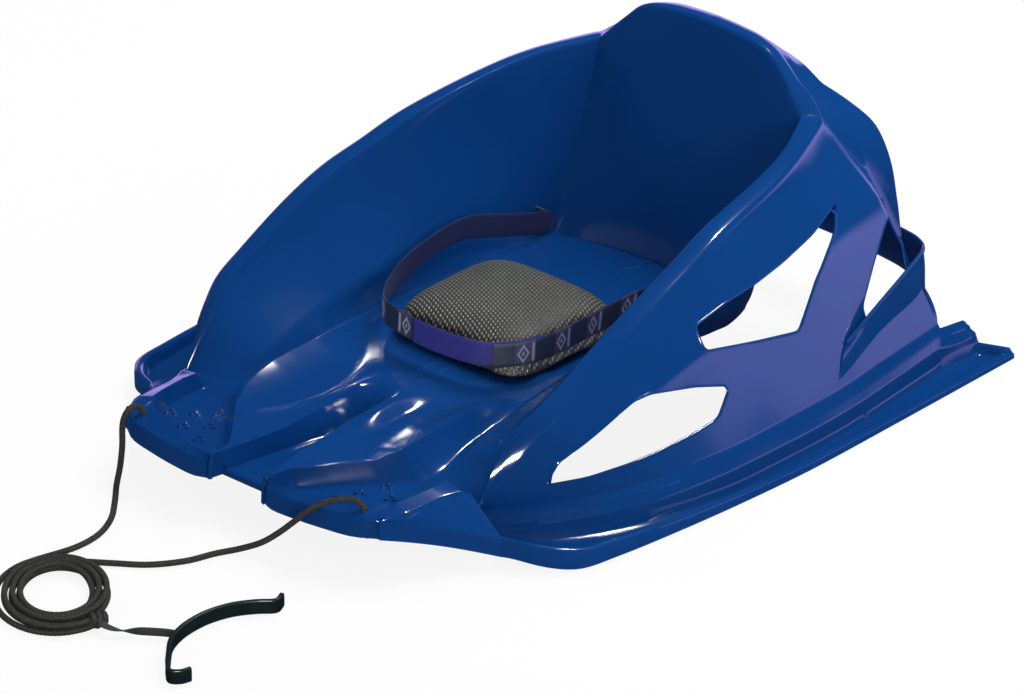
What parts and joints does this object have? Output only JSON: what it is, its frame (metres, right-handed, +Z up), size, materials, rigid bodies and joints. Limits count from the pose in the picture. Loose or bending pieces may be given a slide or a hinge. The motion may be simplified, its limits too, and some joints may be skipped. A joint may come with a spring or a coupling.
{
  "type": "toddler bucket sled",
  "caption": "Low moulded sled for a toddler: bucket seat with windowed sides, flared runner boards, foot rests, lap belt, seat pad and a coiled tow rope with a bow handle.",
  "frame": {"origin": "on the ground under the middle of the sled's length and width", "axes": "+Z up, the toes point to -Y, X is across the sled"},
  "size_m": [0.6502, 1.0633, 0.3081],
  "materials": {
    "moulded_plastic": "glossy dark blue",
    "pad_fabric": "coarse olive weave with pale glints",
    "belt_webbing": "navy webbing with a plain block pattern",
    "patch_fabric": "bright blue hook and loop",
    "rope": "braided, dark olive",
    "handle_plastic": "very dark green, satin"
  },
  "bodies": {
    "sled": {"sled_body": "moulded_plastic", "seat_pad": "pad_fabric", "belt_anchor_far": "belt_webbing", "belt_anchor_near": "belt_webbing", "rope_far": "rope", "rope_near": "rope", "rope_coil": "rope", "rope_hitch": "rope", "toe_knot_far": "rope", "toe_knot_near": "rope", "handle_strap": "handle_plastic", "handle_bow": "handle_plastic"},
    "belt_half_far": {"belt_far": "belt_webbing", "belt_loop_patch": "patch_fabric"},
    "belt_half_near": {"belt_near": "belt_webbing", "belt_hook_patch": "patch_fabric"}
  },
  "joints": [
    {"name": "belt_far_swing", "type": "hinge", "parent": "sled", "child": "belt_half_far", "pos_m": [-0.1165, 0.178, 0.085], "axis": [-1, 0, 0], "range_deg": [0, 75]},
    {"name": "belt_near_swing", "type": "hinge", "parent": "sled", "child": "belt_half_near", "pos_m": [0.1165, 0.178, 0.085], "axis": [-1, 0, 0], "range_deg": [0, 75]}
  ]
}
